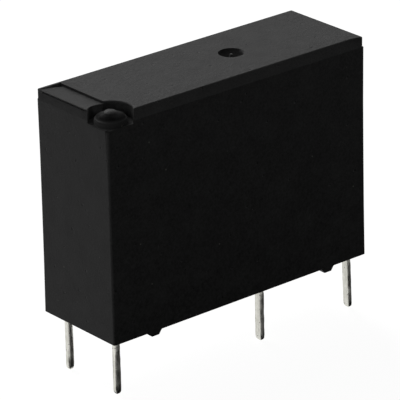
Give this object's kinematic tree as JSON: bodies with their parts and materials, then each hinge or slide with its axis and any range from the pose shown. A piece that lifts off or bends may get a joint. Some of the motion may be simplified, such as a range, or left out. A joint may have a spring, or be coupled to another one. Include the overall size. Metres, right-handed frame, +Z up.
{
  "type": "pcb power relay",
  "caption": "Slim sealed relay for a circuit board: upright moulded case on through-hole pins, with its coil, hinged armature, pusher card and contact inside.",
  "frame": {"origin": "under the middle of the case, level with the tips of the pins", "axes": "+X along the case's length, from the coil pins to the contact pins; -Y towards the row of three pins; +Z up, away from the board"},
  "size_m": [0.0204, 0.0068, 0.0185],
  "materials": {
    "case_plastic": "fine matt mould texture",
    "base_plastic": "satin",
    "epoxy_resin": "cast, glossy",
    "tinned_copper": "dipped tin",
    "plated_iron": "nickel plated",
    "bobbin_plastic": "satin",
    "enamelled_copper": "enamelled wire",
    "spring_bronze": "rolled",
    "contact_silver": "turned",
    "card_plastic": "satin"
  },
  "bodies": {
    "housing": {"case": "case_plastic", "base": "base_plastic", "sealing_resin": "epoxy_resin", "coil_terminal_front": "tinned_copper", "coil_terminal_rear": "tinned_copper", "coil_lead_front": "enamelled_copper", "coil_lead_rear": "enamelled_copper", "bobbin": "bobbin_plastic", "winding": "enamelled_copper", "core": "plated_iron", "yoke": "plated_iron", "hinge_spring": "spring_bronze", "moving_terminal": "tinned_copper", "spring_rivet_front": "spring_bronze", "spring_rivet_rear": "spring_bronze", "fixed_terminal": "tinned_copper", "fixed_contact": "contact_silver"},
    "armature": {"armature": "plated_iron"},
    "card": {"card": "card_plastic"},
    "contact_spring": {"moving_spring": "spring_bronze", "moving_contact": "contact_silver"}
  },
  "joints": [
    {"name": "armature_hinge", "type": "hinge", "parent": "housing", "child": "armature", "pos_m": [-0.0004, 0, 0.01525], "axis": [0, -1, 0], "range_deg": [0, 5], "stiffness_Nm_per_rad": 0.00005, "springref_deg": -28.65},
    {"name": "card_pivot", "type": "hinge", "parent": "armature", "child": "card", "pos_m": [0.0005, 0, 0.01164], "axis": [0, 1, 0], "range_deg": [0, 5.05]},
    {"name": "spring_bend", "type": "hinge", "parent": "housing", "child": "contact_spring", "pos_m": [0.0058, 0, 0.00613], "axis": [0, 1, 0], "range_deg": [0, 3.45]}
  ],
  "couplings": [
    {"joint": "card_pivot", "follows": "armature_hinge", "ratio": 1},
    {"joint": "spring_bend", "follows": "armature_hinge", "ratio": 0.68}
  ]
}
